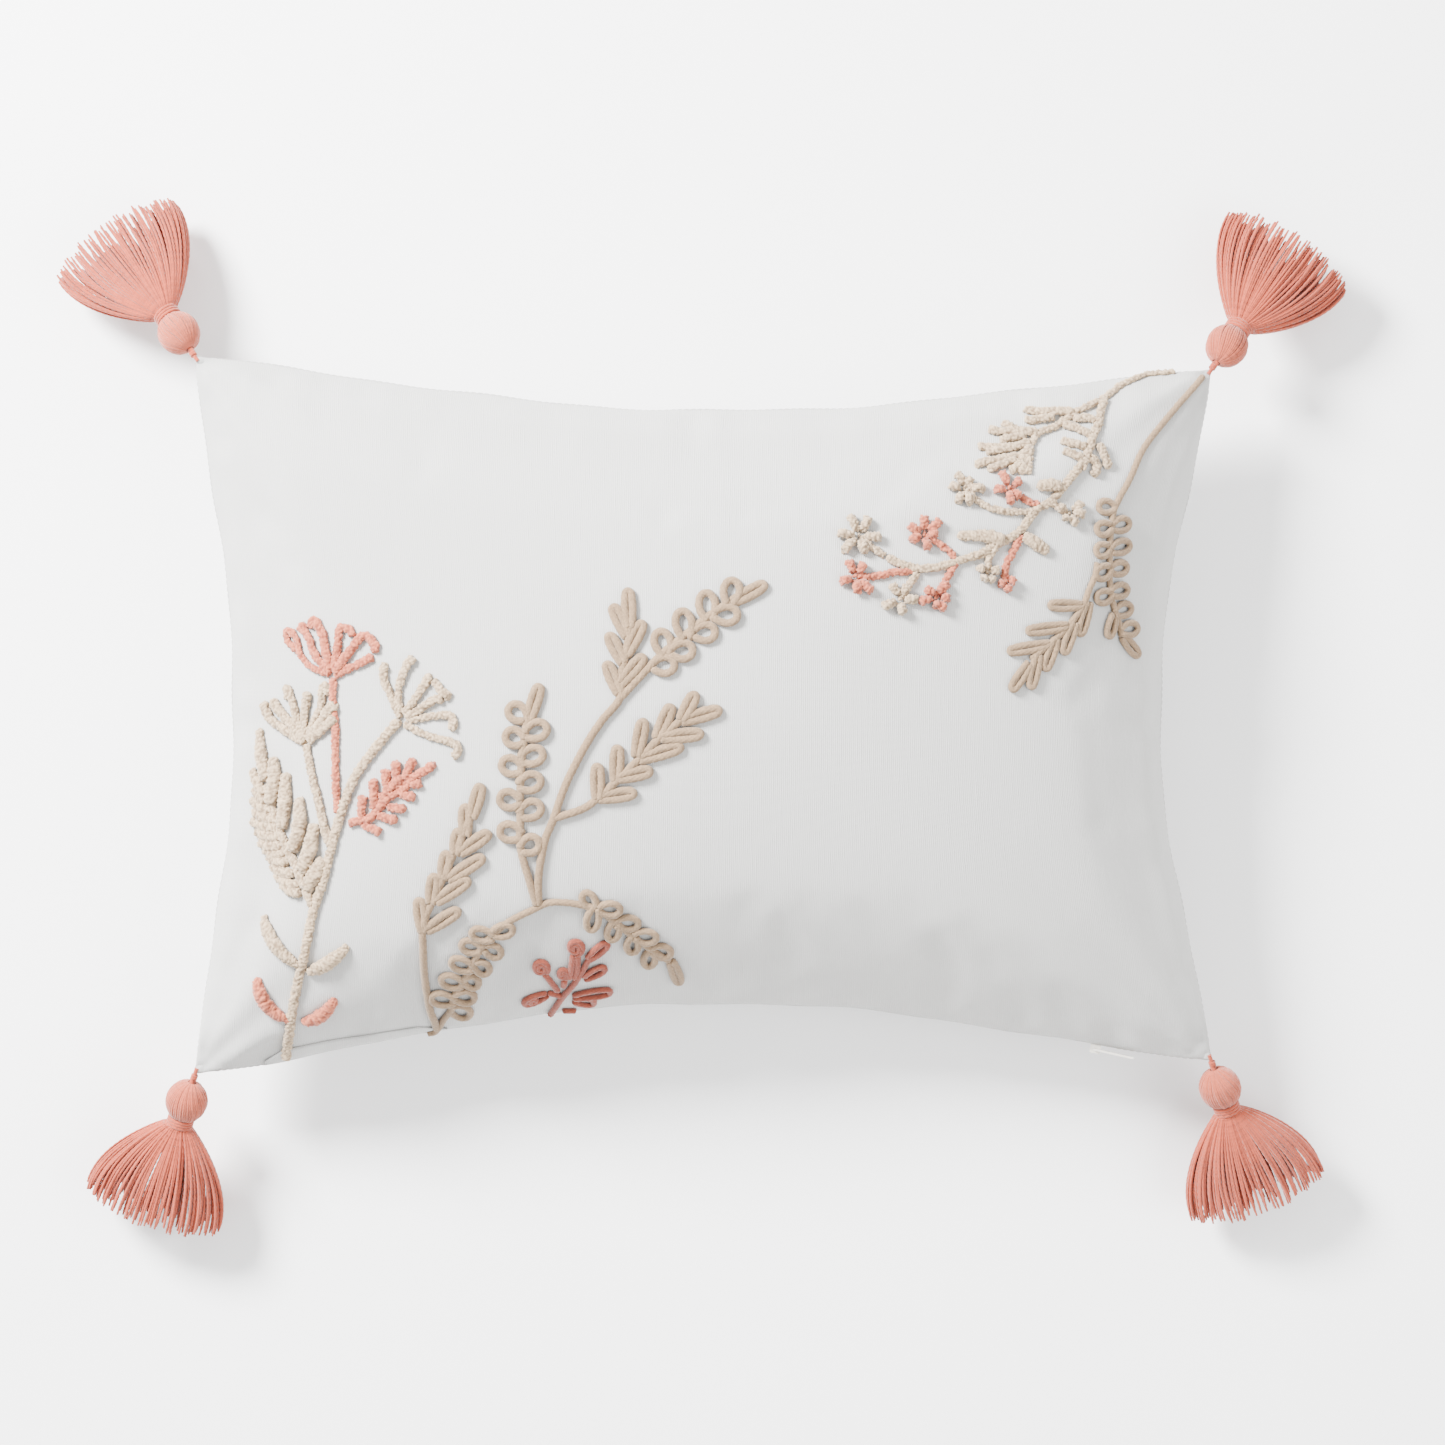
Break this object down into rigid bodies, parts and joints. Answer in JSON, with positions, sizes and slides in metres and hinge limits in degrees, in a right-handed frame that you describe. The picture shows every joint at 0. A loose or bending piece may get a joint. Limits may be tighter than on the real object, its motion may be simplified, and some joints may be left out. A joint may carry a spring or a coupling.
{
  "type": "throw pillow",
  "caption": "Oblong cotton throw pillow with raised yarn flower embroidery on the front, a concealed zip and a coral yarn tassel on each corner.",
  "frame": {"origin": "middle of the flat resting area of the back panel, with the pillow lying on its back", "axes": "+X along the long side, +Y towards the top edge, +Z out of the embroidered front"},
  "size_m": [0.6517, 0.5271, 0.1252],
  "materials": {
    "slub_cotton": "matt slub weave",
    "insert_casing": "matt",
    "polyester_fibre": "fluffy",
    "zip_tape": "woven tape",
    "zip_coil": "matt nylon",
    "zip_enamel": "satin enamel",
    "coral_tassel_yarn": "twisted yarn",
    "coral_head_yarn": "wound yarn",
    "bead_wood": "bare",
    "natural_pile_yarn": "looped pile",
    "coral_pile_yarn": "looped pile",
    "natural_cord_yarn": "laid cord",
    "terracotta_cord_yarn": "laid cord"
  },
  "bodies": {
    "pillow": {"cover_front_panel": "slub_cotton", "cover_back_panel": "slub_cotton", "insert_front_panel": "insert_casing", "insert_back_panel": "insert_casing", "fibre_fill": "polyester_fibre", "zipper_tape_front": "zip_tape", "zipper_tape_back": "zip_tape", "zipper_coil_front": "zip_coil", "zipper_coil_back": "zip_coil", "zipper_stop_left": "zip_enamel", "zipper_stop_right": "zip_enamel", "meadow_stems": "natural_pile_yarn", "meadow_serrated_leaf": "natural_pile_yarn", "blossom_branch": "natural_pile_yarn", "blossom_far_left": "natural_pile_yarn", "blossom_lower": "natural_pile_yarn", "blossom_upper": "natural_pile_yarn", "blossom_right": "natural_pile_yarn", "blossom_middle": "natural_pile_yarn", "meadow_coral_umbel": "coral_pile_yarn", "meadow_coral_fern": "coral_pile_yarn", "meadow_coral_leaf_left": "coral_pile_yarn", "meadow_coral_leaf_right": "coral_pile_yarn", "coral_blossom_top": "coral_pile_yarn", "coral_blossom_left": "coral_pile_yarn", "coral_blossom_low": "coral_pile_yarn", "coral_blossom_back": "coral_pile_yarn", "leaf_sprig": "natural_cord_yarn", "berry_sprig": "natural_cord_yarn", "tall_sprig": "natural_cord_yarn", "arch_sprig": "natural_cord_yarn", "hanging_sprig": "natural_cord_yarn", "coral_sprig": "terracotta_cord_yarn"},
    "zip_slider": {"zipper_slider": "zip_enamel"},
    "zip_pull_tab": {"zipper_pull_tab": "zip_enamel"},
    "knot_top_left": {"tassel_knot_top_left": "coral_tassel_yarn"},
    "tassel_top_left": {"tassel_cord_top_left": "coral_tassel_yarn", "tassel_bead_top_left": "bead_wood", "tassel_head_top_left": "coral_head_yarn", "tassel_wrap_top_left": "coral_tassel_yarn", "tassel_skirt_top_left": "coral_tassel_yarn"},
    "knot_top_right": {"tassel_knot_top_right": "coral_tassel_yarn"},
    "tassel_top_right": {"tassel_cord_top_right": "coral_tassel_yarn", "tassel_bead_top_right": "bead_wood", "tassel_head_top_right": "coral_head_yarn", "tassel_wrap_top_right": "coral_tassel_yarn", "tassel_skirt_top_right": "coral_tassel_yarn"},
    "knot_bottom_left": {"tassel_knot_bottom_left": "coral_tassel_yarn"},
    "tassel_bottom_left": {"tassel_cord_bottom_left": "coral_tassel_yarn", "tassel_bead_bottom_left": "bead_wood", "tassel_head_bottom_left": "coral_head_yarn", "tassel_wrap_bottom_left": "coral_tassel_yarn", "tassel_skirt_bottom_left": "coral_tassel_yarn"},
    "knot_bottom_right": {"tassel_knot_bottom_right": "coral_tassel_yarn"},
    "tassel_bottom_right": {"tassel_cord_bottom_right": "coral_tassel_yarn", "tassel_bead_bottom_right": "bead_wood", "tassel_head_bottom_right": "coral_head_yarn", "tassel_wrap_bottom_right": "coral_tassel_yarn", "tassel_skirt_bottom_right": "coral_tassel_yarn"}
  },
  "joints": [
    {"name": "zip_travel", "type": "hinge", "parent": "pillow", "child": "zip_slider", "pos_m": [0.01055, -0.97984, 0.044], "axis": [0, 0, 1], "range_deg": [0, 26.61]},
    {"name": "pull_tab_flip", "type": "hinge", "parent": "zip_slider", "child": "zip_pull_tab", "pos_m": [0.19343, -0.16506, 0.044], "axis": [0, 0, -1], "range_deg": [0, 170]},
    {"name": "swing_top_left", "type": "hinge", "parent": "pillow", "child": "knot_top_left", "pos_m": [-0.2505, 0.1765, 0.044], "axis": [0, 0, 1], "range_deg": [-40, 40]},
    {"name": "lift_top_left", "type": "hinge", "parent": "knot_top_left", "child": "tassel_top_left", "pos_m": [-0.25163, 0.17812, 0.04329], "axis": [0.8192, 0.5736, 0], "range_deg": [0, 85]},
    {"name": "swing_top_right", "type": "hinge", "parent": "pillow", "child": "knot_top_right", "pos_m": [0.2505, 0.17, 0.044], "axis": [0, 0, 1], "range_deg": [-40, 40]},
    {"name": "lift_top_right", "type": "hinge", "parent": "knot_top_right", "child": "tassel_top_right", "pos_m": [0.2516, 0.17164, 0.04329], "axis": [0.829, -0.5592, 0], "range_deg": [0, 85]},
    {"name": "swing_bottom_left", "type": "hinge", "parent": "pillow", "child": "knot_bottom_left", "pos_m": [-0.2505, -0.1765, 0.044], "axis": [0, 0, 1], "range_deg": [-40, 40]},
    {"name": "lift_bottom_left", "type": "hinge", "parent": "knot_bottom_left", "child": "tassel_bottom_left", "pos_m": [-0.25114, -0.17837, 0.04329], "axis": [-0.9455, 0.3256, 0], "range_deg": [0, 85]},
    {"name": "swing_bottom_right", "type": "hinge", "parent": "pillow", "child": "knot_bottom_right", "pos_m": [0.2505, -0.17, 0.044], "axis": [0, 0, 1], "range_deg": [-40, 40]},
    {"name": "lift_bottom_right", "type": "hinge", "parent": "knot_bottom_right", "child": "tassel_bottom_right", "pos_m": [0.25118, -0.17186, 0.04329], "axis": [-0.9397, -0.342, 0], "range_deg": [0, 85]}
  ]
}
